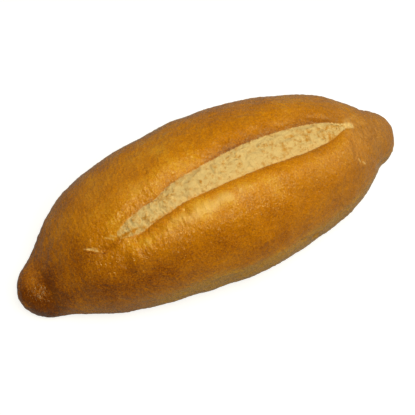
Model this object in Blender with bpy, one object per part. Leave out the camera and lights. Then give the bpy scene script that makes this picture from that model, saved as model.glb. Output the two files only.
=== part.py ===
"""Bolillo: a spindle-shaped white bread roll with a knob at each end and one long split along its crest.

The roll lies along X on its flat base, with +Z up and the origin under the middle of its bounding box.
Its skin is one closed surface: a sphere whose rings and meridians are carried onto the roll.
All lengths are in metres.
"""
import math

import bmesh
import bpy
import numpy as np

# Overall size; the lobes beside the split stand a little above HEIGHT
LENGTH = 0.155
WIDTH = 0.0632
HEIGHT = 0.0468

# The belly seen from above and the crown seen from the side: where each is fullest,
# how far its dome reaches towards -X and +X, and how bluntly it ends
BELLY_X = 0.0020
BELLY_REACH = (0.0775, 0.0712)
CROWN_X = -0.0010
CROWN_REACH = (0.0700, 0.0815)
DOME_BLUNTNESS = 1.95

# The knobs, -X end first: half length, half width, half height, and where their middles lie
KNOB_HALF_LENGTH = (0.0095, 0.0075)
KNOB_HALF_WIDTH = (0.0110, 0.0115)
KNOB_HALF_HEIGHT = (0.0084, 0.0072)
KNOB_Z = (0.0080, 0.0102)
KNOB_Y = (-0.0039, 0.0025)

# The necks between belly and knobs: softness of the waist, and the knob's fade into the belly
# in knob half lengths from the tip
NECK_SOFTNESS = 0.0036
KNOB_FADE = (1.0, 3.2)
END_BLEND = 0.025

# Cross-section: height of the widest point, squareness above and below it, and how far it sags
WIDEST_AT = 0.43
SQUARENESS_ABOVE = 2.1
SQUARENESS_BELOW = 2.7
SAG = 0.14

# The split along the crest: its -X and +X tips, the bow of its line, and its leaf-shaped outline,
# which tapers slowly from the -X tip and ends bluntly at the +X tip
SPLIT_START = (-0.0410, -0.0080)
SPLIT_END = (0.0573, 0.0010)
SPLIT_BOW = 0.0023
SPLIT_HALF_WIDTH = 0.0066
SPLIT_TAPER = 0.36
SPLIT_END_BLUNTNESS = 7.8

# The split's relief: a seam on either side of a low crowned floor, crust that rolls down to the
# seams, and the swollen lobes behind it
SPLIT_DEPTH = 0.0022
FLOOR_CROWN = 0.0007
TIP_FADE = 0.16
LIP_ROLL = 0.0040
LOBE_RISE = 0.0009
LOBE_REACH = 0.0055

# Broad unevenness of the flanks: place along X, side (-1 near, +1 far), reach and height
SWELLS = (
    (0.010, -1, 0.017, 0.0012),
    (-0.057, -1, 0.013, -0.0015),
    (0.034, -1, 0.012, -0.0005),
    (-0.048, 1, 0.018, 0.0012),
    (-0.014, 1, 0.015, -0.0008),
)

# Mesh: steps around and along, how much the rings crowd towards the tips, the share of the way
# round that lies between the seams, and its least half width past the split's tips
STEPS_AROUND = 88
STEPS_ALONG = 56
TIP_CROWDING = 0.45
SPLIT_SHARE = 0.14
LEAST_HALF_WIDTH = 0.0016
BASE_SPREAD = 1.2


def smooth_max(a, b, softness):
    """The larger of two values, with the corner between them rounded by softness."""
    return 0.5 * (a + b + np.sqrt((a - b) ** 2 + softness ** 2) - softness)


def ease(value):
    """A smooth step from 0 to 1 as value goes from 0 to 1."""
    value = np.clip(value, 0.0, 1.0)
    return value * value * (3.0 - 2.0 * value)


def signed_power(value, power):
    """The value's size raised to a power, with its sign kept."""
    return np.sign(value) * np.abs(value) ** power


def dome(x, middle, reach):
    """A hump of height 1 at middle that falls to 0 at its reach to either side."""
    share = np.where(x < middle, (middle - x) / reach[0], (x - middle) / reach[1])
    return (1.0 - np.clip(share, 0.0, 1.0) ** 2) ** (1.0 / DOME_BLUNTNESS)


def sections(x):
    """Half width, top, bottom and sideways shift of the roll's cross-section at x."""
    half = LENGTH / 2
    towards_far_end = 0.5 + 0.5 * np.tanh(x / END_BLEND)

    def between(pair):
        return pair[0] + (pair[1] - pair[0]) * towards_far_end

    knob_length = between(KNOB_HALF_LENGTH)
    knob_z = between(KNOB_Z)
    from_tip = (half - np.abs(x)) / knob_length
    round_end = np.sqrt(1.0 - np.clip(1.0 - from_tip, 0.0, 1.0) ** 2)
    knob = round_end * ease((KNOB_FADE[1] - from_tip) / (KNOB_FADE[1] - KNOB_FADE[0]))
    softness = NECK_SOFTNESS * knob
    belly = WIDTH / 2 * dome(x, BELLY_X, BELLY_REACH)
    width = smooth_max(belly, between(KNOB_HALF_WIDTH) * knob, softness)
    crown = HEIGHT * dome(x, CROWN_X, CROWN_REACH)
    knob_height = between(KNOB_HALF_HEIGHT) * knob
    top = knob_z + smooth_max(np.maximum(crown - knob_z, 0.0), knob_height, softness)
    keel = knob_z * (1.0 - np.abs(x / half) ** 6)
    bottom = np.maximum(knob_z - smooth_max(keel, knob_height, 0.4 * softness), 0.0)
    shift = between(KNOB_Y) * np.abs(x / half) ** 3
    return width, top, bottom, shift


def split_line(x):
    """How far x is along the split (0 to 1), the y of its middle and its half width."""
    along = (x - SPLIT_START[0]) / (SPLIT_END[0] - SPLIT_START[0])
    inside = np.clip(along, 0.0, 1.0)
    slant = SPLIT_START[1] + (SPLIT_END[1] - SPLIT_START[1]) * inside
    middle = slant + SPLIT_BOW * 4.0 * inside * (1.0 - inside)
    half_width = SPLIT_HALF_WIDTH * inside ** SPLIT_TAPER * (1.0 - inside ** SPLIT_END_BLUNTNESS)
    return along, middle, half_width


def split_relief(x, y):
    """Height added to the skin by the split: crust rolling down to a seam on either side of a low floor."""
    along, middle, half_width = split_line(x)
    opening = ease(along / TIP_FADE) * ease((1.0 - along) / TIP_FADE)
    past_seam = np.abs(y - middle) - half_width
    roll = np.clip(1.0 - past_seam / LIP_ROLL, 0.0, 1.0)
    lip = -SPLIT_DEPTH * (1.0 - np.sqrt(1.0 - roll ** 2))
    across = np.clip((y - middle) / np.maximum(half_width, LEAST_HALF_WIDTH), -1.0, 1.0)
    floor = FLOOR_CROWN * (1.0 - across ** 2) - SPLIT_DEPTH
    rising = ease(past_seam / LOBE_REACH)
    falling = ease((3.0 * LOBE_REACH - past_seam) / (2.0 * LOBE_REACH))
    lobe = LOBE_RISE * rising * falling * ease(4.0 * opening)
    return opening * np.where(past_seam > 0.0, lip, floor) + lobe


def swell(x, facing):
    """Height of the broad swells and dents; facing runs from -1 on the near flank to +1 on the far."""
    height = np.zeros_like(x)
    for place, side, reach, rise in SWELLS:
        height += rise * np.clip(side * facing, 0.0, 1.0) ** 2 * np.exp(-((x - place) / reach) ** 2)
    return height


def section_angle(around, x, width, shift):
    """Angle of a point in its cross-section: meridians follow the two seams, then spread to the base."""
    _, middle, half_width = split_line(x)
    half_width = np.maximum(half_width, np.minimum(LEAST_HALF_WIDTH, width / 4))
    middle = np.clip(middle - shift, -0.4 * width, 0.4 * width)
    side = np.sign(around)
    towards_seam = np.clip(np.abs(around) / SPLIT_SHARE, 0.0, 1.0)
    across = (middle - side * towards_seam * half_width) / np.maximum(width, 1e-9)
    top_angle = np.arccos(signed_power(np.clip(across, -0.95, 0.95), SQUARENESS_ABOVE / 2))
    past_seam = np.clip((np.abs(around) - SPLIT_SHARE) / (1.0 - SPLIT_SHARE), 0.0, 1.0)
    base_angle = np.where(side > 0, 1.5 * math.pi, -0.5 * math.pi)
    return top_angle + (base_angle - top_angle) * past_seam ** BASE_SPREAD


def skin(along, around):
    """Points of the roll: along runs 0 to 1 from the -X tip, around runs -1 to 1 with 0 on the split."""
    evenly = 2.0 * along - 1.0
    x = LENGTH / 2 * (evenly + TIP_CROWDING * (-np.cos(math.pi * along) - evenly))
    width, top, bottom, shift = sections(x)
    angle = section_angle(around, x, width, shift)
    across, up = np.cos(angle), np.sin(angle)
    power = 2.0 / np.where(up >= 0.0, SQUARENESS_ABOVE, SQUARENESS_BELOW)
    y = shift + (width + swell(x, across)) * signed_power(across, power)
    widest_z = bottom + WIDEST_AT * (top - bottom)
    reach = np.where(up >= 0.0, top - widest_z, (widest_z - bottom) * (1.0 + SAG))
    z = widest_z + reach * signed_power(up, power)
    z += split_relief(x, y) * np.clip(3.0 * up - 1.0, 0.0, 1.0)
    y -= (y.max() + y.min()) / 2
    return np.stack([x, y, np.maximum(z, 0.0)], axis=1)


def bread_material(name, colour, roughness):
    """A plain baked finish: Principled shader with a base colour and a roughness."""
    material = bpy.data.materials.new(name)
    material.use_nodes = True
    shader = material.node_tree.nodes["Principled BSDF"]
    shader.inputs["Base Color"].default_value = (*colour, 1.0)
    shader.inputs["Roughness"].default_value = roughness
    shader.inputs["Metallic"].default_value = 0.0
    return material


def make_roll(collection):
    """The roll: a sphere whose vertices are carried onto the skin, with pale dough in the split."""
    shape = bmesh.new()
    bmesh.ops.create_uvsphere(shape, u_segments=STEPS_AROUND, v_segments=STEPS_ALONG, radius=1.0)
    ball = np.array([vertex.co for vertex in shape.verts])
    along = 1.0 - np.arccos(np.clip(ball[:, 2], -1.0, 1.0)) / math.pi
    around = np.arctan2(ball[:, 1], ball[:, 0]) / math.pi
    points = skin(along, around)
    for vertex, point in zip(shape.verts, points):
        vertex.co = point
    share_along = split_line(points[:, 0])[0]
    in_split = (np.abs(around) <= SPLIT_SHARE) & (share_along > 0.0) & (share_along < 1.0)
    for face in shape.faces:
        face.material_index = int(all(in_split[vertex.index] for vertex in face.verts))
    bmesh.ops.recalc_face_normals(shape, faces=shape.faces)
    mesh = bpy.data.meshes.new("bolillo")
    shape.to_mesh(mesh)
    shape.free()
    mesh.shade_smooth()
    mesh.materials.append(bread_material("crust", (0.50, 0.20, 0.025), 0.45))
    mesh.materials.append(bread_material("split dough", (0.72, 0.46, 0.15), 0.70))
    collection.objects.link(bpy.data.objects.new("bolillo", mesh))


def main():
    """Clear the scene and make the roll in its own collection."""
    for old in list(bpy.data.objects):
        bpy.data.objects.remove(old, do_unlink=True)
    collection = bpy.data.collections.new("bolillo roll")
    bpy.context.scene.collection.children.link(collection)
    make_roll(collection)


main()
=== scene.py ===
"""Bolillo roll: the finished look of a split, knob-ended bread roll, built around its solid frame."""
import math

import bpy
import numpy as np
from bpy.props import FloatProperty, FloatVectorProperty, PointerProperty
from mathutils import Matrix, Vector


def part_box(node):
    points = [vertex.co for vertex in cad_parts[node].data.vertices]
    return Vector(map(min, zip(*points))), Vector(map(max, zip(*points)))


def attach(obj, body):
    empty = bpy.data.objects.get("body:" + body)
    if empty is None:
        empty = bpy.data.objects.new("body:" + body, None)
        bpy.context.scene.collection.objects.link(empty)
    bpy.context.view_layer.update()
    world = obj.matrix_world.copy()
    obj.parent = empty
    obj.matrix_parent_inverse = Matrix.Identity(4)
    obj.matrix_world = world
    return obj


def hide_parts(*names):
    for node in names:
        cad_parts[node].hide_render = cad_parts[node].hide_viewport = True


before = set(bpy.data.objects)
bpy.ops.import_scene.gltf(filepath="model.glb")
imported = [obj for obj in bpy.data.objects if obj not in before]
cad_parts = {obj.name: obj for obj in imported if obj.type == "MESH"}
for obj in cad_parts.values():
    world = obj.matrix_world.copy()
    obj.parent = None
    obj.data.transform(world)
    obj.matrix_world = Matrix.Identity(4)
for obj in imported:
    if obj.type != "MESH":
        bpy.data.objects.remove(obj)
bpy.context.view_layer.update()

bl_info = {
    "name": "Bolillo Roll",
    "version": (1, 0, 0),
    "blender": (4, 5, 0),
    "location": "View3D > Sidebar > Bolillo",
    "description": "Shapes and finishes a split bolillo bread roll and sets it on a pale floor",
    "category": "Add Mesh",
}

NODE = "bolillo"
LOW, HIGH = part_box(NODE)
MM = 0.001

# Grid of the skin: rings along the roll and meridians round it
RINGS = 450
MERIDIANS = 220

# How the grid lies on the skin: the share of the way round between the seams, its least half width past
# the split's tips, how much the rings crowd towards the ends and the meridians towards the base, and how
# far the roll moves along Y when it is centred on its box
SPLIT_SHARE = 0.17
LEAST_HALF_WIDTH = 1.6 * MM
TIP_CROWDING = 0.30
BASE_SPREAD = 1.25
CENTRING = 0.64 * MM

# The distance from the seam that is written down where there is none, and the most that is kept, in mm
NO_SEAM = 9.0
SEAM_REACH = 8.0

# How the form's parts run into each other: the reach of the change from one end's sizes to the other's,
# where the knobs fade into the belly, in knob half lengths from the tip, the share of the split over which
# its relief fades out at each tip, and the share over which its lips draw together at the pointed tip
END_BLEND = 0.025
KNOB_FADE = (1.0, 3.2)
TIP_FADE = 0.16
POINT_SHARE = 0.07

# Broad swells and dents of the flanks: x, side (-1 near, +1 far), reach and height, in mm
SWELLS = (
    (10.0, -1, 17.0, 1.2),
    (-57.0, -1, 13.0, -1.5),
    (34.0, -1, 12.0, -0.5),
    (-48.0, 1, 18.0, 1.2),
    (-14.0, 1, 15.0, -0.8),
)

# Steps in the two lips: x, side (-1 near, +1 far), reach and how far the lip steps back, in mm
LIP_STEPS = (
    (-22.0, 1, 3.6, -0.7),
    (-12.5, 1, 6.0, 0.4),
    (33.0, 1, 8.0, -0.3),
    (-30.0, -1, 3.8, 0.9),
    (-12.0, -1, 7.0, -0.7),
    (32.0, -1, 12.0, 0.4),
    (53.0, -1, 3.0, -0.6),
)

# Hollows folded into the crust beside the lips: x, y, slant, long reach, short reach and depth, in mm
HOLLOWS = (
    (-14.6, -11.0, -0.5, 3.0, 1.5, 0.9),
    (-25.0, -12.6, -0.9, 2.6, 1.1, 0.6),
    (-19.5, -13.6, -1.0, 3.0, 0.9, 0.35),
    (-33.5, -13.5, -1.1, 3.0, 1.0, 0.4),
    (-34.5, -2.8, 0.35, 5.0, 1.6, 0.6),
    (-1.5, 5.6, -0.9, 1.8, 0.7, 0.4),
    (32.0, 6.6, 0.2, 2.0, 1.0, 0.5),
    (48.0, 5.6, -0.4, 4.5, 1.4, 0.6),
    (-44.0, -9.8, -0.55, 4.0, 0.8, 0.6),
    (5.0, -11.5, -0.9, 2.2, 0.9, 0.3),
    (17.0, -10.5, -0.9, 2.4, 0.9, 0.3),
)

# Islands of brown skin left on the torn dough: x, y, long reach, short reach and how brown, in mm
SKIN_ISLANDS = (
    (-32.5, -8.9, 2.2, 0.55, 1.6),
    (-37.0, -9.0, 2.4, 0.60, 1.3),
    (-22.0, -8.4, 1.6, 0.60, 0.8),
    (-15.5, -7.6, 4.5, 1.00, 0.55),
)

# Small marks baked into the crust, each a line from one (x, y) to another on the upper skin, in mm:
# start, end, half width, height, and how much paler (+) or darker (-) it is; a dent's darkening is partly
# painted shade in its groove
MARKS = (
    ((-50.6, -5.4), (-48.6, -6.8), 0.40, -0.12, 0.60),
    ((-49.4, -6.2), (-47.0, -8.4), 0.50, -0.15, 0.62),
    ((-47.6, -8.4), (-46.0, -9.8), 0.38, -0.10, 0.65),
    ((-47.8, -6.6), (-46.6, -7.8), 0.35, -0.10, 0.45),
    ((-50.0, -7.2), (-45.0, -10.6), 0.45, -0.35, -0.6),
    ((-45.0, -10.3), (-38.5, -9.9), 0.70, -0.45, -0.55),
    ((-33.8, -15.6), (-32.2, -18.6), 0.80, -0.25, -0.25),
    ((-30.2, -14.4), (-29.4, -17.8), 0.70, 0.18, 0.25),
    ((-26.4, -14.0), (-25.4, -18.2), 0.80, -0.22, -0.20),
    ((-42.8, -6.2), (-40.2, -8.4), 0.45, 0.10, 0.60),
    ((-41.0, -6.6), (-39.2, -8.0), 0.40, 0.05, 0.60),
    ((-45.5, -23.4), (-37.5, -26.6), 0.35, -0.10, 0.6),
    ((31.0, -27.8), (32.6, -27.6), 0.8, 0.45, 0.5),
    ((32.4, -28.8), (30.0, -29.4), 0.5, -0.45, -0.9),
    ((30.0, -29.4), (24.0, -29.6), 0.4, -0.25, -0.6),
    ((24.0, -29.6), (18.5, -30.0), 0.35, -0.15, -0.4),
    ((54.6, -12.0), (54.9, -12.8), 0.5, 0.20, 0.8),
    ((56.4, -12.6), (57.0, -13.4), 0.45, 0.20, 0.8),
    ((54.0, 0.9), (58.0, 0.8), 1.00, -0.10, 1.3),
    ((57.0, 0.9), (64.0, 2.4), 2.00, -0.10, 0.30),
    ((56.0, 3.0), (62.0, 5.4), 1.20, -0.10, 0.35),
    ((-21.5, 7.4), (-20.6, 7.9), 0.45, -0.25, -0.8),
)

# Zones that are darker (+) or paler (-), partly baked colour and partly painted shade, with the paler rim low
# on the near flank a painted reflection: how much, its share on the near and on the far flank, and the smooth
# steps over which it comes in, from one x to another in mm and from one tilt to another in degrees;
# ANY_TILT is a step that every tilt is past
ANY_TILT = (-2.0, -1.0)
BAKED_ZONES = (
    (0.14, (1.0, 1.0), (-54.0, -68.0), ANY_TILT),
    (0.42, (1.0, 0.65), (-57.0, -69.0), ANY_TILT),
    (0.10, (0.0, 1.0), (-8.0, -32.0), (8.0, 20.0)),
    (0.09, (0.0, 1.0), (-36.0, -54.0), ANY_TILT),
    (0.22, (1.0, 0.6), (-69.0, -75.0), (62.0, 37.0)),
    (-0.38, (1.0, 0.0), (-72.0, -77.0), (45.0, 70.0)),
    (0.10, (1.0, 0.0), (-28.0, -44.0), (66.0, 80.0)),
    (0.18, (1.0, 1.0), (57.0, 69.0), ANY_TILT),
    (-0.46, (1.0, 0.0), (-52.0, -6.0), (72.0, 94.0)),
)

# Grain of crust and dough, each a noise of so many cycles to the metre, with its detail and roughness
BROAD = (260.0, 3.0, 0.6)
MOTTLE = (900.0, 3.0, 0.65)
SPECK = (1900.0, 2.0, 0.7)
CRUMB = (1200.0, 3.0, 0.7)
CLUMP = (480.0, 2.0, 0.6)
RAG = (1100.0, 2.0, 0.6)
STROKES = (850.0, 2.0, 0.6)
PORES = (1700.0, 2.0, 0.6)

# Finish: how much a pale patch, the painted highlight beside the split among them, lifts the crust's browning
# and painted shade, how far the border's rag reaches in mm, how the gloss varies about its roughness, how
# much rougher the dough is, and the sheen and depth of the fine relief
PALE_LIFT = 0.32
RAG_REACH = 0.9
GLOSS_SPREAD = (-0.06, 0.10)
DOUGH_DRYNESS = 0.30
SHEEN = 0.42
SHEEN_TINT = (0.90, 1.0, 0.52, 1.0)
FINE_DEPTH = 0.62 * MM

# Lamps: name, azimuth and elevation in degrees, distance and width in metres, and the setting of its power
LAMPS = (
    ("soft key", 10.0, 73.0, 0.95, 0.60, "key_power"),
    ("soft fill", 88.0, 25.0, 0.90, 0.70, "fill_power"),
    ("soft back", 205.0, 32.0, 0.90, 0.80, "back_power"),
)
LAMP_COLOUR = (1.0, 0.985, 0.94)
LAMP_TARGET = (0.0, 0.0, 0.02)
CAMERA_TARGET = (-0.0024, -0.0045, 0.024)
SENSOR_WIDTH = 36.0

# Floor: half its width and its drop below the base in metres, the shares of its colour that it throws back,
# and how brightly the camera sees it
FLOOR_HALF = 3.0
FLOOR_DROP = 0.0001
FLOOR_SHARES = (0.36, 0.33)
FLOOR_GLOW = 0.88


# ---------------------------------------------------------------------------------------------
# Settings
# ---------------------------------------------------------------------------------------------

class RollForm(bpy.types.PropertyGroup):
    """Sizes of the roll; its length, width and height come from the frame."""
    length: FloatProperty(name="Length", description="Knob to knob", unit="LENGTH", default=HIGH.x - LOW.x)
    width: FloatProperty(name="Width", description="Across the belly", unit="LENGTH", default=HIGH.y - LOW.y)
    height: FloatProperty(name="Height", description="Base to crown", unit="LENGTH", default=HIGH.z - LOW.z)
    belly_x: FloatProperty(name="Belly place", description="Where the belly is widest", unit="LENGTH",
                           default=0.0020)
    belly_reach: FloatVectorProperty(name="Belly reach",
                                     description="Length of the belly's dome towards each end", size=2,
                                     unit="LENGTH", default=(0.0775, 0.0712))
    crown_x: FloatProperty(name="Crown place", description="Where the crown is highest", unit="LENGTH",
                           default=-0.0010)
    crown_reach: FloatVectorProperty(name="Crown reach",
                                     description="Length of the crown's dome towards each end", size=2,
                                     unit="LENGTH", default=(0.0700, 0.0815))
    bluntness: FloatProperty(name="Bluntness", description="How bluntly the domes end", default=1.95)
    knob_length: FloatVectorProperty(name="Knob half lengths", description="Left and right knob", size=2,
                                     unit="LENGTH", default=(0.0095, 0.0075))
    knob_width: FloatVectorProperty(name="Knob half widths", description="Left and right knob", size=2,
                                    unit="LENGTH", default=(0.0110, 0.0115))
    knob_height: FloatVectorProperty(name="Knob half heights", description="Left and right knob", size=2,
                                     unit="LENGTH", default=(0.0084, 0.0072))
    knob_z: FloatVectorProperty(name="Knob levels", description="Height of each knob's middle", size=2,
                                unit="LENGTH", default=(0.0080, 0.0102))
    knob_y: FloatVectorProperty(name="Knob offsets", description="Sideways place of each knob", size=2,
                                unit="LENGTH", default=(-0.0039, 0.0025))
    neck_softness: FloatProperty(name="Neck softness", description="Rounding of the waist at each knob",
                                 unit="LENGTH", default=0.0036)
    widest_at: FloatProperty(name="Widest level", description="Widest point as a share of the height",
                             subtype="FACTOR", default=0.43)
    squareness: FloatVectorProperty(name="Squareness", description="Fullness of the section above and below",
                                    size=2, default=(2.1, 2.7))
    sag: FloatProperty(name="Sag", description="How far the underside presses into its flat base",
                       subtype="FACTOR", default=0.14)


class SplitForm(bpy.types.PropertyGroup):
    """Sizes of the split along the crest."""
    start: FloatVectorProperty(name="Start", description="Pointed tip, x and y", size=2, unit="LENGTH",
                               default=(-0.0410, -0.0086))
    end: FloatVectorProperty(name="End", description="Blunt tip, x and y", size=2, unit="LENGTH",
                             default=(0.0573, 0.0004))
    bow: FloatProperty(name="Bow", description="Sideways bend of its line", unit="LENGTH", default=0.0023)
    half_width: FloatProperty(name="Half width", description="Half of its widest opening", unit="LENGTH",
                              default=0.0066)
    taper: FloatProperty(name="Taper", description="How slowly it opens from the pointed tip", default=0.36)
    bluntness: FloatProperty(name="Bluntness", description="How abruptly it closes at the blunt tip",
                             default=7.8)
    seam_drop: FloatVectorProperty(name="Seam drops",
                                   description="Height of the near and far lip at the seam", size=2,
                                   unit="LENGTH", default=(0.0011, 0.0004))
    seam_roll: FloatProperty(name="Seam roll", description="Reach of the lips' last drop", unit="LENGTH",
                             default=0.0019)
    shoulder_drop: FloatVectorProperty(name="Shoulder drops", description="Fall of the near and far shoulder",
                                       size=2, unit="LENGTH", default=(0.0014, 0.0013))
    shoulder_reach: FloatVectorProperty(name="Shoulder reaches",
                                        description="Width of the near and far shoulder", size=2,
                                        unit="LENGTH", default=(0.0062, 0.0088))
    floor_crown: FloatProperty(name="Dough crown", description="Rise of the torn dough between the seams",
                               unit="LENGTH", default=0.0010)
    lobe_rise: FloatProperty(name="Lobe rise", description="Swelling of the crust behind each lip",
                             unit="LENGTH", default=0.0009)
    lobe_reach: FloatProperty(name="Lobe reach", description="Distance of the swelling from the seam",
                              unit="LENGTH", default=0.0070)


class BreadLook(bpy.types.PropertyGroup):
    """Colours and finish of crust and dough."""
    # The light crust also serves as the painted highlight on the lobes beside the split
    light: FloatVectorProperty(name="Light crust", description="Thin, stretched crust",
                               subtype="COLOR", size=3, min=0, max=1, default=(0.830, 0.405, 0.0200))
    golden: FloatVectorProperty(name="Golden crust", description="Crust of the crown",
                                subtype="COLOR", size=3, min=0, max=1, default=(0.700, 0.244, 0.0015))
    # The amber, brown and darkest crust, reached on the flanks and at the lower ends, stand partly for
    # painted shade there
    amber: FloatVectorProperty(name="Amber crust", description="Crust of the flanks", subtype="COLOR", size=3,
                               min=0, max=1, default=(0.530, 0.168, 0.0008))
    brown: FloatVectorProperty(name="Brown crust", description="Well baked crust", subtype="COLOR", size=3,
                               min=0, max=1, default=(0.360, 0.097, 0.0008))
    burnt_and_shaded: FloatVectorProperty(name="Darkest crust", description="Deep brown of the lower ends",
                               subtype="COLOR", size=3, min=0, max=1, default=(0.170, 0.037, 0.0004))
    # The wan crust also stands for the painted rim reflection at the blunt end and low on the flanks
    wan: FloatVectorProperty(name="Wan crust", description="Dull tan crust of the blunt end",
                             subtype="COLOR", size=3, min=0, max=1, default=(0.560, 0.248, 0.0260))
    dough: FloatVectorProperty(name="Torn dough", description="Dough in the split", subtype="COLOR", size=3,
                               min=0, max=1, default=(1.000, 0.680, 0.2300))
    toasted: FloatVectorProperty(name="Toasted dough", description="Tan patches of the dough",
                                 subtype="COLOR", size=3, min=0, max=1, default=(0.800, 0.380, 0.0500))
    gloss: FloatProperty(name="Gloss roughness", description="Roughness of the crust's sheen",
                         subtype="FACTOR", min=0, max=1, default=0.21)


class StudioSetup(bpy.types.PropertyGroup):
    """Camera, light and floor."""
    azimuth: FloatProperty(name="Camera azimuth", description="Turn of the view about the vertical",
                           subtype="ANGLE", default=math.radians(-24.06))
    elevation: FloatProperty(name="Camera elevation", description="How steeply the camera looks down",
                             subtype="ANGLE", default=math.radians(65.0))
    distance: FloatProperty(name="Camera distance", description="From the middle of the roll", unit="LENGTH",
                            default=0.60)
    frame_width: FloatProperty(name="Frame width", description="Width of the view at the roll",
                               unit="LENGTH", default=0.1511)
    key_power: FloatProperty(name="Key light", description="Power of the large soft light", unit="POWER",
                             default=7.1)
    fill_power: FloatProperty(name="Fill light", description="Power of the low side light", unit="POWER",
                              default=2.15)
    back_power: FloatProperty(name="Back light", description="Power of the light behind", unit="POWER",
                              default=0.6)
    sky: FloatProperty(name="Sky", description="Strength of the even light from all round", default=0.06)
    floor: FloatVectorProperty(name="Floor", description="Colour of the pale floor", subtype="COLOR", size=3,
                               min=0, max=1, default=(0.95, 0.94, 0.90))


# ---------------------------------------------------------------------------------------------
# Helpers for shapes
# ---------------------------------------------------------------------------------------------

def ease(value):
    """A smooth step: 3v^2 - 2v^3 of the value held between 0 and 1."""
    value = np.clip(value, 0.0, 1.0)
    return value * value * (3.0 - 2.0 * value)


def fade(value, start, end):
    """A smooth step from 0 where the value is at start to 1 where it is at end."""
    return ease((value - start) / (end - start))


def bell(value, middle, reach):
    """A bell curve: e to the minus square of the distance from its middle over its reach."""
    return np.exp(-((value - middle) / reach) ** 2)


def smooth_max(a, b, softness):
    """The larger of two values, with the corner between them rounded by softness."""
    return 0.5 * (a + b + np.sqrt((a - b) ** 2 + softness ** 2) - softness)


def signed_power(value, power):
    """The value's size raised to a power, with its sign kept."""
    return np.sign(value) * np.abs(value) ** power


def waves(points, size, seed, stretch=(1.0, 1.0, 1.0), count=26):
    """An uneven field of about -1 to 1: the sum of plane waves of about one length in random directions,
    each wave's length stretched along X, Y and Z by the given factors."""
    rng = np.random.default_rng(seed)
    direction = rng.normal(size=(count, 3))
    direction /= np.linalg.norm(direction, axis=1, keepdims=True)
    length = size * rng.uniform(0.7, 1.4, size=(count, 1))
    number = 2.0 * math.pi * direction / (length * np.array(stretch))
    phase = rng.uniform(0.0, 2.0 * math.pi, size=count)
    return np.sin(points @ number.T + phase).sum(axis=1) / math.sqrt(count)


def line_distance(points, start, end):
    """Distance of each point from the straight line between two points."""
    start, end = np.array(start), np.array(end)
    run = end - start
    along = np.clip((points - start) @ run / (run @ run), 0.0, 1.0)
    return np.linalg.norm(points - start - along[:, None] * run, axis=1)


# ---------------------------------------------------------------------------------------------
# The roll's form
# ---------------------------------------------------------------------------------------------

def dome(x, middle, reach, bluntness):
    """A hump of height 1 at middle that falls to 0 at its reach: (1 - share^2)^(1/bluntness)."""
    share = np.where(x < middle, (middle - x) / reach[0], (x - middle) / reach[1])
    return (1.0 - np.clip(share, 0.0, 1.0) ** 2) ** (1.0 / bluntness)


def sections(form, x):
    """Half width, top, bottom and sideways shift of the cross-section at x: the domes of belly and crown,
    joined by a smooth maximum to an ellipsoid knob at each end."""
    half = form.length / 2
    towards_far_end = 0.5 + 0.5 * np.tanh(x / END_BLEND)

    def between(pair):
        """The -X end's size and the +X end's, run into each other at x."""
        return pair[0] + (pair[1] - pair[0]) * towards_far_end

    knob_z = between(form.knob_z)
    from_tip = (half - np.abs(x)) / between(form.knob_length)
    round_end = np.sqrt(1.0 - np.clip(1.0 - from_tip, 0.0, 1.0) ** 2)
    knob = round_end * fade(from_tip, KNOB_FADE[1], KNOB_FADE[0])
    softness = form.neck_softness * knob
    belly = form.width / 2 * dome(x, form.belly_x, form.belly_reach, form.bluntness)
    width = smooth_max(belly, between(form.knob_width) * knob, softness)
    crown = form.height * dome(x, form.crown_x, form.crown_reach, form.bluntness)
    knob_height = between(form.knob_height) * knob
    top = knob_z + smooth_max(np.maximum(crown - knob_z, 0.0), knob_height, softness)
    keel = knob_z * (1.0 - np.abs(x / half) ** 6)
    bottom = np.maximum(knob_z - smooth_max(keel, knob_height, 0.4 * softness), 0.0)
    shift = between(form.knob_y) * np.abs(x / half) ** 3
    return width, top, bottom, shift


def split_line(split, x):
    """How far x is along the split (0 to 1), the y of its middle and its half width there: a leaf that
    opens as along^taper and closes as 1 - along^bluntness, drawn together a little more at its pointed
    tip, on a line bowed like a parabola, with each lip stepped out or in by bell curves."""
    along = (x - split.start[0]) / (split.end[0] - split.start[0])
    inside = np.clip(along, 0.0, 1.0)
    slant = split.start[1] + (split.end[1] - split.start[1]) * inside
    middle = slant + split.bow * 4.0 * inside * (1.0 - inside)
    half_width = split.half_width * inside ** split.taper * (1.0 - inside ** split.bluntness)
    half_width *= np.clip(inside / POINT_SHARE, 0.0, 1.0) ** 0.35
    between_tips = fade(inside, 0.0, 0.05) * fade(inside, 1.0, 0.95)
    for place, side, reach, step in LIP_STEPS:
        back = 0.5 * step * MM * between_tips * bell(x / MM, place, reach)
        half_width = half_width + back
        middle = middle + side * back
    return along, middle, half_width


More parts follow.
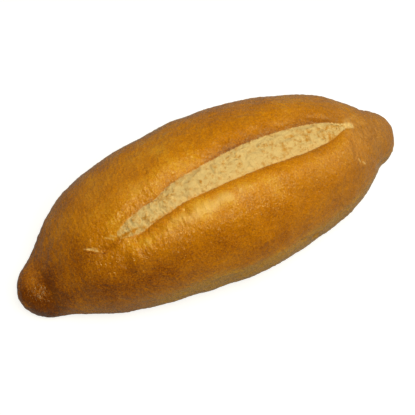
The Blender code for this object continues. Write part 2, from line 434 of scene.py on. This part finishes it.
def split_relief(split, x, y):
    """Height added by the split: each shoulder of crust falls towards its seam as a parabola and ends in
    a quarter-ellipse drop, the dough between the seams is low and crowned, and the crust behind each
    shoulder swells."""
    along, middle, half_width = split_line(split, x)
    opening = fade(along, 0.0, TIP_FADE) * fade(along, 1.0, 1.0 - TIP_FADE)
    past_seam = np.abs(y - middle) - half_width
    across = np.clip((y - middle) / np.maximum(half_width, LEAST_HALF_WIDTH), -1.0, 1.0)
    far_side = 0.5 + 0.5 * across

    def blend(pair):
        """The near lip's size and the far lip's, run into each other across the dough."""
        return pair[0] + (pair[1] - pair[0]) * far_side

    drop = blend(split.shoulder_drop)
    edge = blend(split.seam_drop)
    roll = np.clip(1.0 - past_seam / split.seam_roll, 0.0, 1.0)
    lip = -edge * (1.0 - np.sqrt(1.0 - roll ** 2))
    lip -= drop * np.clip(1.0 - past_seam / blend(split.shoulder_reach), 0.0, 1.0) ** 2
    floor = split.floor_crown * (1.0 - across ** 2) - edge - drop
    rising = fade(past_seam, 0.0, split.lobe_reach)
    falling = fade(past_seam, 3.0 * split.lobe_reach, split.lobe_reach)
    lobe = split.lobe_rise * rising * falling * ease(4.0 * opening) * (1.0 - 0.6 * far_side)
    return opening * np.where(past_seam > 0.0, lip, floor) + lobe


def swell(x, facing):
    """Height of the broad swells and dents: bell curves along X, each on one flank only."""
    height = np.zeros_like(x)
    for place, side, reach, rise in SWELLS:
        height += rise * MM * np.clip(side * facing, 0.0, 1.0) ** 2 * bell(x / MM, place, reach)
    return height


def section_angle(form, split, around, x, width, shift):
    """Angle of a grid point in its cross-section: meridians follow the two seams, then spread to the base."""
    _, middle, half_width = split_line(split, x)
    half_width = np.maximum(half_width, np.minimum(LEAST_HALF_WIDTH, width / 4))
    middle = np.clip(middle - shift + CENTRING, -0.4 * width, 0.4 * width)
    side = np.sign(around)
    towards_seam = np.clip(np.abs(around) / SPLIT_SHARE, 0.0, 1.0)
    across = (middle - side * towards_seam * half_width) / np.maximum(width, 1e-9)
    top_angle = np.arccos(signed_power(np.clip(across, -0.95, 0.95), form.squareness[0] / 2))
    past_seam = np.clip((np.abs(around) - SPLIT_SHARE) / (1.0 - SPLIT_SHARE), 0.0, 1.0)
    base_angle = np.where(side > 0, 1.5 * math.pi, -0.5 * math.pi)
    return top_angle + (base_angle - top_angle) * past_seam ** BASE_SPREAD


def skin(form, split, along, around):
    """Points of the smooth skin: along runs 0 to 1 from the -X tip, around -1 to 1 with 0 on the split.
    Each cross-section is a superellipse, blunter below, flattened where it meets the floor."""
    evenly = 2.0 * along - 1.0
    x = form.length / 2 * (evenly + TIP_CROWDING * (-np.cos(math.pi * along) - evenly))
    width, top, bottom, shift = sections(form, x)
    angle = section_angle(form, split, around, x, width, shift)
    across, up = np.cos(angle), np.sin(angle)
    power = 2.0 / np.where(up >= 0.0, form.squareness[0], form.squareness[1])
    y = shift + (width + swell(x, across)) * signed_power(across, power)
    widest_z = bottom + form.widest_at * (top - bottom)
    reach = np.where(up >= 0.0, top - widest_z, (widest_z - bottom) * (1.0 + form.sag))
    z = widest_z + reach * signed_power(up, power)
    y = (y - (y.max() + y.min()) / 2) * form.width / (y.max() - y.min())
    z += split_relief(split, x, y) * np.clip(3.0 * up - 1.0, 0.0, 1.0)
    z = np.maximum(z, 0.0)
    z *= form.height / z.max()
    split_along, middle, half_width = split_line(split, x)
    return np.stack([x, y, z], axis=-1), split_along, y - middle, half_width


def grid_normals(points):
    """Outward unit normals of a grid whose second direction closes on itself, from its two slopes."""
    lengthwise = np.gradient(points, axis=0)
    crosswise = (np.roll(points, -1, axis=1) - np.roll(points, 1, axis=1)) / 2
    normal = np.cross(crosswise, lengthwise)
    return normal / np.maximum(np.linalg.norm(normal, axis=2, keepdims=True), 1e-12)


def crust_relief(points):
    """Height of the crust's own relief, in mm: slow unevenness, fine orange peel, and short stretch
    wrinkles in patches, all fading out at the base."""
    mm = points / MM
    height = 0.16 * waves(mm, 13.0, seed=1)
    height += 0.065 * waves(mm, 4.0, seed=2)
    height += 0.045 * waves(mm, 1.9, seed=3, stretch=(0.8, 1.5, 1.5))
    patch = ease(0.5 + 0.6 * waves(mm, 17.0, seed=5))
    ridge = 1.0 - np.abs(waves(mm, 2.4, seed=4, stretch=(0.8, 2.6, 2.6)))
    height += 0.085 * patch * np.clip(ridge, -1.0, 1.0)
    return height * fade(mm[:, 2], 0.0, 2.0)


def dough_relief(points, split_along, across):
    """Height of the torn dough's relief, in mm: crumbly lumps, crosswise ribs towards the pointed tip and
    a winding furrow beside the far seam."""
    mm = points / MM
    height = 0.20 * waves(mm, 4.5, seed=11) + 0.13 * waves(mm, 2.2, seed=12)
    ribs = np.abs(waves(mm, 2.4, seed=13, stretch=(1.0, 4.0, 4.0)))
    height += 0.20 * ribs * fade(split_along, 0.45, 0.15)
    furrow = bell(across - 0.06 * np.sin(19.0 * split_along), 0.30, 0.16)
    height -= 0.35 * furrow * fade(split_along, 0.38, 0.50) * fade(split_along, 0.97, 0.87)
    return height


def toasting_and_highlight(points, split_along, across):
    """How tan the torn dough is, 0 to 2: a band below the far lip, both ends and the islands of skin are
    browner, the widest stretch is paler, partly as a painted highlight, the far lip's rim is paler, and waves
    of two sizes mottle it all."""
    mm = points / MM
    x, y = mm[:, 0], mm[:, 1]
    tan = 0.42 * bell(across, 0.33, 0.22) * fade(split_along, 0.25, 0.45)
    tan += 0.45 * fade(split_along, 0.28, 0.04) + 0.45 * fade(split_along, 0.72, 0.96)
    # Paler widest stretch: partly paler dough, partly a painted highlight
    tan -= 0.34 * bell(split_along, 0.38, 0.17)
    for at_x, at_y, long_reach, short_reach, brown in SKIN_ISLANDS:
        tan += brown * bell(x, at_x, long_reach) * bell(y, at_y, short_reach)
    tan -= 0.60 * bell(across, 0.84, 0.16) * fade(split_along, 0.40, 0.55)
    tan += 0.20 * waves(mm, 5.0, seed=61) + 0.22 * waves(mm, 2.0, seed=62)
    return np.clip(tan, 0.0, 2.0)


def lip_folds(points, past_seam, opening):
    """Depth of the folds beside the lips, in mm: named hollows, each a slanted bell, and short wrinkles
    that run away from the seam and die out."""
    mm = points / MM
    x, y = mm[:, 0], mm[:, 1]
    depth = np.zeros(len(points))
    for at_x, at_y, slant, long_reach, short_reach, hollow in HOLLOWS:
        turn = math.atan(slant)
        along = (x - at_x) * math.cos(turn) + (y - at_y) * math.sin(turn)
        across = (y - at_y) * math.cos(turn) - (x - at_x) * math.sin(turn)
        depth += hollow * bell(along, 0.0, long_reach) * bell(across, 0.0, short_reach)
    wrinkle = waves(np.stack([x, 0.25 * y, 0.0 * y], axis=1), 2.6, seed=41)
    beside_lip = bell(np.maximum(past_seam, 0.0), 4.0, 4.0)
    depth += 0.10 * (wrinkle + 1.0) * beside_lip * opening
    return depth * fade(mm[:, 2], 20.0, 40.0)


def on_skin(points, place):
    """The point of the upper skin that lies nearest to a place given by its x and y."""
    upper = points[points[:, 2] > 8.0]
    return upper[np.argmin(((upper[:, :2] - place) ** 2).sum(axis=1))]


def marks_relief(points):
    """Height of the small marks, in mm, and how much paler or darker they make the crust: each falls off
    as a bell curve from its line. Where a mark is a dent, its darkening is partly painted shade in the
    groove."""
    mm = points / MM
    height = np.zeros(len(points))
    tone = np.zeros(len(points))
    for start, end, half_width, rise, pale in MARKS:
        mark = bell(line_distance(mm, on_skin(mm, start), on_skin(mm, end)), 0.0, half_width)
        height += rise * mark
        tone += pale * mark
    return height, tone


def neck_folds(points):
    """Height of the folds gathered round the two necks, in mm: creases that run along the roll, each the
    cube of a sine round the neck, sharp at the +X neck and soft at the -X one."""
    mm = points / MM
    x, y, z = mm[:, 0], mm[:, 1], mm[:, 2]
    turn = np.arctan2(z - 12.0, -y)
    fold = np.sin(5.0 * turn + 0.5 * x + 1.5 * waves(mm, 16.0, seed=21))
    sharp = -0.45 * np.clip(fold, 0.0, 1.0) ** 3
    soft = -0.25 * np.clip(np.sin(4.0 * turn - 0.4 * x), 0.0, 1.0) ** 3
    return (sharp * bell(x, 63.5, 4.5) + soft * bell(x, -62.0, 4.0)) * fade(z, 0.0, 3.0)


def browning(points, normals, past_seam, opening):
    """How dark the crust is, 0 to 1, partly baked browning and partly painted shade: a golden ground, a brown
    band along each flank that is a bell curve of the skin's tilt from level, the baked zones, a paler stretch
    on the -X neck, brown beside the lips that fades with distance from the seam, and waves of two sizes. The
    flank bands and the brown beside the lips are partly painted shade."""
    mm = points / MM
    x, y = mm[:, 0], mm[:, 1]
    tilt = np.degrees(np.arccos(np.clip(normals[:, 2], -1.0, 1.0)))
    near = ease(0.5 - 3.0 * normals[:, 1])
    far = 1.0 - near

    # Flank bands: browning and painted shade, deepest on the near flank and growing towards -X
    near_band = bell(tilt, 58.0, 23.0) * (1.0 - 0.45 * fade(x, -54.0, -62.0))
    dark = 0.26 + near * near_band * (0.27 + 0.09 * bell(x, 2.0, 15.0) + 0.36 * fade(x, -8.0, -52.0))
    dark += far * bell(tilt, 30.0, 26.0) * (0.03 + 0.08 * fade(x, -30.0, 10.0))
    dark += 0.06 * near * bell(tilt, 32.0, 12.0) * fade(x, -30.0, 0.0)
    for amount, (near_share, far_share), x_step, tilt_step in BAKED_ZONES:
        dark += amount * (near_share * near + far_share * far) * fade(x, *x_step) * fade(tilt, *tilt_step)
    dark -= 0.13 * (0.3 * near + far) * fade(x, -60.0, -66.0) * fade(x, -77.0, -71.0)

    # Brown beside the lips: partly browned crust, partly painted shade where the crust rolls down into the
    # seam
    past_lip = np.maximum(past_seam, 0.0)
    past_far_lip = np.where(y > -1.0, past_lip, 99.0)
    dark += 0.10 * opening * bell(past_lip, 0.0, 2.0)
    dark += 0.36 * opening * fade(x, -4.0, 12.0) * bell(past_far_lip, 0.0, 5.5)
    dark += 0.05 * waves(mm, 20.0, seed=31) + 0.045 * waves(mm, 7.0, seed=32)
    return np.clip(dark, 0.0, 1.0)


def pale_skin_and_highlight(points):
    """How much paler the crust is on the two lobes beside the split, partly thin, stretched crust and partly
    a painted highlight: two bell curves, broken up by waves."""
    mm = points / MM
    x, y = mm[:, 0], mm[:, 1]
    near_lobe = bell(x, -6.0, 24.0) * bell(y - 0.06 * x, -13.0, 4.2)
    far_lobe = bell(x, -27.0, 18.0) * bell(y, 4.0, 5.0)
    return (0.52 * near_lobe + 0.30 * far_lobe) * (1.0 + 0.20 * waves(mm, 5.0, seed=34))


def wanness(points, normals):
    """How dull and tan the crust is, 0 to 0.9, partly a dull tan crust and partly a painted reflection of the
    pale surroundings: it grows in two steps towards the +X knob, and low on the flanks where the skin turns
    under."""
    mm = points / MM
    x = mm[:, 0]
    wan = 0.20 * fade(x, 4.0, 54.0) + 0.26 * fade(x, 44.0, 66.0)
    wan += 0.34 * fade(normals[:, 2], 0.36, -0.04) * fade(x, -70.0, -10.0)
    return np.clip(wan + 0.06 * waves(mm, 9.0, seed=33), 0.0, 0.9)


def roll_surface(form, split):
    """The finished skin on its grid, and the values that its material reads at each point."""
    along, around = np.meshgrid(np.linspace(0.0, 1.0, RINGS + 1),
                                2.0 * np.arange(MERIDIANS) / MERIDIANS - 1.0, indexing="ij")
    base, split_along, from_middle, half_width = skin(form, split, along, around)
    normals = grid_normals(base)
    shape = along.shape
    flat = base.reshape(-1, 3)
    flat_normals = normals.reshape(-1, 3)
    split_along, from_middle, half_width = (a.ravel() for a in (split_along, from_middle, half_width))

    upwards = fade(flat_normals[:, 2], -0.2, 0.2)
    in_reach = fade(split_along, 0.0, 0.03) * fade(split_along, 1.0, 0.97) * upwards
    past_seam = (np.abs(from_middle) - half_width) / MM
    beside_split = (split_along > 0.0) & (split_along < 1.0) & (flat_normals[:, 2] > 0.0)
    past_seam = np.where(beside_split, past_seam, NO_SEAM)
    dough = fade(past_seam, 0.35, -0.35) * in_reach
    across = from_middle / np.maximum(half_width, 1e-6)
    opening = fade(split_along, 0.0, 0.10) * fade(split_along, 1.0, 0.94)

    marks, tone = marks_relief(flat)
    height = crust_relief(flat) + neck_folds(flat)
    height = (height - lip_folds(flat, past_seam, opening)) * (1.0 - dough) + marks
    height += dough_relief(flat, split_along, across) * dough * opening
    finished = flat + flat_normals * (height * MM)[:, None]
    finished[:, 2] = np.where(flat[:, 2] <= 0.0, 0.0, np.maximum(finished[:, 2], 0.0))
    finished = finished.reshape(shape + (3,))
    finished[0] = base[0].mean(axis=0)
    finished[-1] = base[-1].mean(axis=0)

    # The crust's darkness holds painted shade beside its browning, its dullness a painted rim reflection, its
    # paleness the painted highlight on the lobes beside the split, and the dough's paler widest stretch a
    # painted highlight
    values = {
        "seam": np.clip(-past_seam, -SEAM_REACH, SEAM_REACH) * in_reach - SEAM_REACH * (1.0 - in_reach),
        "browning": browning(flat, flat_normals, past_seam, opening * upwards),
        "wanness": wanness(flat, flat_normals),
        "paleness": tone + pale_skin_and_highlight(flat) * upwards,
        "toast": toasting_and_highlight(flat, split_along, across),
    }
    return finished, {name: value.reshape(shape) for name, value in values.items()}


def grid_mesh(name, points, values):
    """A closed mesh from a grid of rings whose first and last rings are single points: quads between the
    rings, triangles at the tips, one value layer for each named array and a UV map along and around."""
    rings, count = points.shape[0] - 1, points.shape[1]
    inner = points[1:-1].reshape(-1, 3)
    vertices = np.vstack([inner, points[0, :1], points[-1, :1]])
    first_tip, last_tip = len(inner), len(inner) + 1
    ring = np.arange(rings - 2)[:, None] * count
    step = np.arange(count)
    following = (step + 1) % count
    quads = np.stack([ring + step, ring + following, ring + count + following, ring + count + step], axis=-1)
    last = (rings - 2) * count
    first_fan = np.stack([np.full(count, first_tip), following, step], axis=1)
    last_fan = np.stack([np.full(count, last_tip), last + step, last + following], axis=1)
    mesh = bpy.data.meshes.new(name)
    mesh.from_pydata(vertices, [], quads.reshape(-1, 4).tolist() + first_fan.tolist() + last_fan.tolist())
    for layer, grid in values.items():
        flat = np.concatenate([grid[1:-1].ravel(), [grid[0].mean(), grid[-1].mean()]])
        attribute = mesh.attributes.new(layer, "FLOAT", "POINT")
        attribute.data.foreach_set("value", flat.astype(np.float32))
    add_uv(mesh, rings, count)
    mesh.shade_smooth()
    return mesh


def add_uv(mesh, rings, count):
    """UV map: U is the share of the way along, V the share of the way round, cut along the underside."""
    def corners(*places):
        """The faces' corners, in order, each from its U and its V."""
        return np.stack([np.stack(np.broadcast_arrays(u, v), axis=-1) for u, v in places], axis=-2)

    row = (np.arange(1, rings - 1) / rings)[:, None]
    column = np.arange(count) / count
    next_row, next_column = row + 1.0 / rings, column + 1.0 / count
    middle = column + 0.5 / count
    quads = corners((row, column), (row, next_column), (next_row, next_column), (next_row, column))
    first = corners((0.0, middle), (1.0 / rings, next_column), (1.0 / rings, column))
    last = corners((1.0, middle), (1.0 - 1.0 / rings, column), (1.0 - 1.0 / rings, next_column))
    uv = np.vstack([part.reshape(-1, 2) for part in (quads, first, last)])
    layer = mesh.uv_layers.new(name="OFBake")
    layer.uv.foreach_set("vector", uv.astype(np.float32).ravel())


# ---------------------------------------------------------------------------------------------
# Materials
# ---------------------------------------------------------------------------------------------

class Nodes:
    """A short way to place nodes in a tree and to link them."""

    def __init__(self, tree):
        self.tree = tree

    def feed(self, socket, value):
        """Link a socket to another, or set its own value."""
        if isinstance(value, bpy.types.NodeSocket):
            self.tree.links.new(value, socket)
        else:
            socket.default_value = value

    def add(self, kind, settings=None, **inputs):
        """A node of a kind with its settings, and its inputs fed by name."""
        node = self.tree.nodes.new(kind)
        for key, value in (settings or {}).items():
            setattr(node, key, value)
        for key, value in inputs.items():
            self.feed(node.inputs[key], value)
        return node

    def math(self, operation, a, b, clamp=False):
        """One sum of two values."""
        node = self.add("ShaderNodeMath", {"operation": operation, "use_clamp": clamp})
        self.feed(node.inputs[0], a)
        self.feed(node.inputs[1], b)
        return node.outputs[0]

    def total(self, first, *others):
        """All the values added up."""
        for other in others:
            first = self.math("ADD", first, other)
        return first

    def swing(self, noise, amount):
        """A noise's swing about its middle, times an amount."""
        return self.math("MULTIPLY", self.math("SUBTRACT", noise, 0.5), amount)

    def mix(self, factor, a, b):
        """Colour a where the factor is 0, colour b where it is 1."""
        node = self.add("ShaderNodeMix", {"data_type": "RGBA"})
        for index, item in ((0, factor), (6, a), (7, b)):
            self.feed(node.inputs[index], item)
        return node.outputs[2]

    def ranged(self, value, low, high, to_low=0.0, to_high=1.0, steps="SMOOTHSTEP"):
        """The value's place between low and high, held and carried between two other values."""
        node = self.add("ShaderNodeMapRange", {"interpolation_type": steps})
        for socket, item in zip(node.inputs, (value, low, high, to_low, to_high)):
            self.feed(socket, item)
        return node.outputs["Result"]

    def noise(self, vector, grain):
        """Cloudy noise of 0 to 1 with a grain's scale, detail and roughness."""
        scale, detail, roughness = grain
        node = self.add("ShaderNodeTexNoise", Vector=vector, Scale=scale, Detail=detail, Roughness=roughness)
        return node.outputs["Fac"]

    def attribute(self, name):
        """A value that the mesh carries at each point."""
        return self.add("ShaderNodeAttribute", {"attribute_name": name}).outputs["Fac"]

    def ramp(self, value, stops):
        """A run of colours, each at its place from 0 to 1."""
        node = self.add("ShaderNodeValToRGB", Fac=value)
        elements = node.color_ramp.elements
        while len(elements) < len(stops):
            elements.new(0.5)
        for element, (place, colour) in zip(elements, stops):
            element.position = place
            element.color = rgba(colour)
        return node.outputs["Color"]


def rgba(colour):
    """A colour with full opacity."""
    return (*colour, 1.0)


def bread_material(look):
    """Crust and torn dough in one finish: browning and painted shade pick the crust's colour, the seam's
    distance swaps crust for dough, and both carry grain at their own scale."""
    material = bpy.data.materials.new("baked crust")
    material.use_nodes = True
    tree = material.node_tree
    nodes = Nodes(tree)
    shader = tree.nodes["Principled BSDF"]
    place = nodes.add("ShaderNodeTexCoord").outputs["Object"]
    mottle, speck = nodes.noise(place, MOTTLE), nodes.noise(place, SPECK)
    crumb, clump = nodes.noise(place, CRUMB), nodes.noise(place, CLUMP)

    # Crust: browning and painted shade shaken by mottling of three sizes, then dulled where it is wan and
    # where the rim reflection is painted, and pale where thin and where the highlight beside the split is
    # painted
    paleness = nodes.attribute("paleness")
    baked = nodes.total(nodes.attribute("browning"), nodes.swing(nodes.noise(place, BROAD), 0.22),
                        nodes.swing(mottle, 0.45), nodes.swing(speck, 1.1))
    tone = nodes.math("SUBTRACT", baked, nodes.math("MULTIPLY", paleness, PALE_LIFT), clamp=True)
    # The ramp's light end is also the painted highlight beside the split; its amber, brown and darkest stops
    # stand partly for painted shade on the flanks and lower ends
    crust = nodes.ramp(tone, ((0.0, look.light), (0.28, look.golden), (0.54, look.amber),
                              (0.78, look.brown), (1.0, look.burnt_and_shaded)))
    crust = nodes.mix(nodes.attribute("wanness"), crust, rgba(look.wan))
    # Where the crust is pale, at pale marks and at the painted highlight beside the split, it is mixed
    # towards the dough's pale colour
    crust = nodes.mix(nodes.ranged(paleness, 0.2, 1.0, 0.0, 0.72), crust, rgba(look.dough))

    # Torn dough: pale with tan patches and fine crumb, paler on its widest stretch partly as a painted
    # highlight
    toast = nodes.total(nodes.attribute("toast"), nodes.swing(crumb, 3.2), nodes.swing(speck, 1.4),
                        nodes.swing(clump, 3.5))
    dough = nodes.ramp(nodes.math("MULTIPLY", toast, 0.56, clamp=True),
                       ((0.0, look.dough), (0.58, look.toasted), (1.0, look.golden)))

    # Ragged border between them
    border = nodes.total(nodes.attribute("seam"), nodes.swing(nodes.noise(place, RAG), RAG_REACH))
    is_dough = nodes.ranged(border, -0.25, 0.30)
    tree.links.new(nodes.mix(is_dough, crust, dough), shader.inputs["Base Color"])

    # Sheen of the crust, dry dough
    gloss = nodes.ranged(mottle, 0.3, 0.7, look.gloss + GLOSS_SPREAD[0], look.gloss + GLOSS_SPREAD[1])
    roughness = nodes.math("ADD", nodes.math("MULTIPLY", is_dough, DOUGH_DRYNESS), gloss, clamp=True)
    tree.links.new(roughness, shader.inputs["Roughness"])
    shader.inputs["Specular IOR Level"].default_value = SHEEN
    shader.inputs["Specular Tint"].default_value = SHEEN_TINT

    # Fine relief: short strokes and pores on the crust, crumbs and clumps on the dough
    stroked = nodes.add("ShaderNodeMapping", Vector=place, Scale=(1.0, 0.60, 0.60)).outputs["Vector"]
    crust_height = nodes.total(nodes.math("MULTIPLY", nodes.noise(stroked, STROKES), 0.85),
                               nodes.math("MULTIPLY", nodes.noise(place, PORES), 0.35))
    dough_height = nodes.total(nodes.math("MULTIPLY", crumb, 1.7), nodes.math("MULTIPLY", clump, 2.1), -1.3)
    height = nodes.total(nodes.math("MULTIPLY", crust_height, nodes.math("SUBTRACT", 1.0, is_dough)),
                         nodes.math("MULTIPLY", dough_height, is_dough))
    bump = nodes.add("ShaderNodeBump", Strength=1.0, Distance=FINE_DEPTH, Height=height)
    tree.links.new(bump.outputs["Normal"], shader.inputs["Normal"])
    return material


def floor_material(colour):
    """Plain pale floor: it shows bright to the camera and throws back a soft share of the light."""
    material = bpy.data.materials.new("pale floor")
    material.use_nodes = True
    tree = material.node_tree
    nodes = Nodes(tree)
    shader = tree.nodes["Principled BSDF"]
    place = nodes.add("ShaderNodeTexCoord").outputs["Object"]
    seen = nodes.add("ShaderNodeLightPath").outputs["Is Camera Ray"]
    tint = nodes.ranged(nodes.noise(place, (30.0, 2.0, 0.5)), 0.3, 0.7)
    lighter, darker = ([share * channel for channel in colour] for share in FLOOR_SHARES)
    tree.links.new(nodes.mix(tint, rgba(lighter), rgba(darker)), shader.inputs["Base Color"])
    shader.inputs["Roughness"].default_value = 0.9
    shader.inputs["Specular IOR Level"].default_value = 0.1
    shader.inputs["Emission Color"].default_value = rgba(colour)
    tree.links.new(nodes.math("MULTIPLY", seen, FLOOR_GLOW), shader.inputs["Emission Strength"])
    return material


# ---------------------------------------------------------------------------------------------
# Operators
# ---------------------------------------------------------------------------------------------

def link(obj):
    """The object, placed in the scene."""
    bpy.context.scene.collection.objects.link(obj)
    return obj


class BOLILLO_OT_make_roll(bpy.types.Operator):
    """Shape the roll's crust with its torn split, and bake it"""
    bl_idname = "bolillo.make_roll"
    bl_label = "Make roll"

    def execute(self, context):
        scene = context.scene
        points, values = roll_surface(scene.bolillo_form, scene.bolillo_split)
        mesh = grid_mesh("bolillo_crust", points, values)
        mesh.materials.append(bread_material(scene.bolillo_look))
        roll = link(bpy.data.objects.new("bolillo_crust", mesh))
        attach(roll, "root")
        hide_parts(NODE)
        return {"FINISHED"}


class BOLILLO_OT_make_stage(bpy.types.Operator):
    """Lay the pale floor, hang the soft lights and set up the camera"""
    bl_idname = "bolillo.make_stage"
    bl_label = "Make stage"

    def execute(self, context):
        scene = context.scene
        studio = scene.bolillo_studio
        make_floor(studio)
        make_lights(studio)
        make_camera(studio)
        scene.view_settings.view_transform = "Standard"
        return {"FINISHED"}


def make_floor(studio):
    """A wide flat floor at the base of the roll."""
    corners = np.array([(-1, -1), (1, -1), (1, 1), (-1, 1)]) * FLOOR_HALF
    vertices = [(x, y, LOW.z - FLOOR_DROP) for x, y in corners]
    mesh = bpy.data.meshes.new("floor")
    mesh.from_pydata(vertices, [], [(0, 1, 2, 3)])
    mesh.materials.append(floor_material(studio.floor))
    link(bpy.data.objects.new("floor", mesh))


def towards(azimuth, elevation):
    """Unit direction from the roll to a camera or lamp; azimuth 0 is on the -Y side."""
    return np.array([math.sin(azimuth) * math.cos(elevation), -math.cos(azimuth) * math.cos(elevation),
                     math.sin(elevation)])


def aim(obj, position, target):
    """Place an object and point its -Z axis at a target, with its +Y axis up."""
    obj.location = position
    direction = Vector(target) - Vector(position)
    obj.rotation_euler = direction.to_track_quat("-Z", "Y").to_euler()


def soft_lamp(name, azimuth, elevation, distance, size, power):
    """A round soft lamp aimed at the roll from the given direction, in degrees."""
    lamp = bpy.data.lights.new(name, "AREA")
    lamp.shape = "DISK"
    lamp.size = size
    lamp.energy = power
    lamp.color = LAMP_COLOUR
    place = towards(math.radians(azimuth), math.radians(elevation)) * distance
    aim(link(bpy.data.objects.new(name, lamp)), place, LAMP_TARGET)


def make_lights(studio):
    """A large soft lamp overhead, a weaker one low on the right, a faint one behind and a faint even sky."""
    for name, azimuth, elevation, distance, size, power in LAMPS:
        soft_lamp(name, azimuth, elevation, distance, size, getattr(studio, power))
    world = bpy.data.worlds.new("pale sky")
    world.use_nodes = True
    nodes = Nodes(world.node_tree)
    background = world.node_tree.nodes["Background"]
    seen = nodes.add("ShaderNodeLightPath").outputs["Is Camera Ray"]
    shade = nodes.mix(seen, rgba((1.0, 1.0, 1.0)), rgba(studio.floor))
    world.node_tree.links.new(shade, background.inputs["Color"])
    strength = nodes.ranged(seen, 0.0, 1.0, studio.sky, 1.0, steps="LINEAR")
    world.node_tree.links.new(strength, background.inputs["Strength"])
    bpy.context.scene.world = world


def make_camera(studio):
    """Camera that looks down on the roll, framed by the width of its view at the roll."""
    camera = bpy.data.cameras.new("camera")
    camera.sensor_width = SENSOR_WIDTH
    camera.lens = camera.sensor_width * studio.distance / studio.frame_width
    obj = link(bpy.data.objects.new("camera", camera))
    target = np.array(CAMERA_TARGET)
    aim(obj, target + towards(studio.azimuth, studio.elevation) * studio.distance, target)
    bpy.context.scene.camera = obj


class BOLILLO_PT_panel(bpy.types.Panel):
    """Steps and settings of the bolillo roll"""
    bl_idname = "BOLILLO_PT_panel"
    bl_label = "Bolillo roll"
    bl_space_type = "VIEW_3D"
    bl_region_type = "UI"
    bl_category = "Bolillo"

    def draw(self, context):
        """The two operators, then each group of settings in its own box."""
        layout = self.layout
        layout.operator(BOLILLO_OT_make_roll.bl_idname)
        layout.operator(BOLILLO_OT_make_stage.bl_idname)
        for group in SETTINGS:
            settings = getattr(context.scene, group)
            box = layout.box()
            for name in settings.__annotations__:
                box.prop(settings, name)


SETTINGS = {
    "bolillo_form": RollForm,
    "bolillo_split": SplitForm,
    "bolillo_look": BreadLook,
    "bolillo_studio": StudioSetup,
}
CLASSES = (*SETTINGS.values(), BOLILLO_OT_make_roll, BOLILLO_OT_make_stage, BOLILLO_PT_panel)


def register():
    """Make the settings, operators and panel known."""
    for item in CLASSES:
        bpy.utils.register_class(item)
    for name, group in SETTINGS.items():
        setattr(bpy.types.Scene, name, PointerProperty(type=group))


def unregister():
    """Take them away again."""
    for name in SETTINGS:
        delattr(bpy.types.Scene, name)
    for item in reversed(CLASSES):
        bpy.utils.unregister_class(item)


def main():
    """Make every piece and the stage."""
    register()
    bpy.ops.bolillo.make_roll()
    bpy.ops.bolillo.make_stage()


if __name__ == "__main__":
    main()
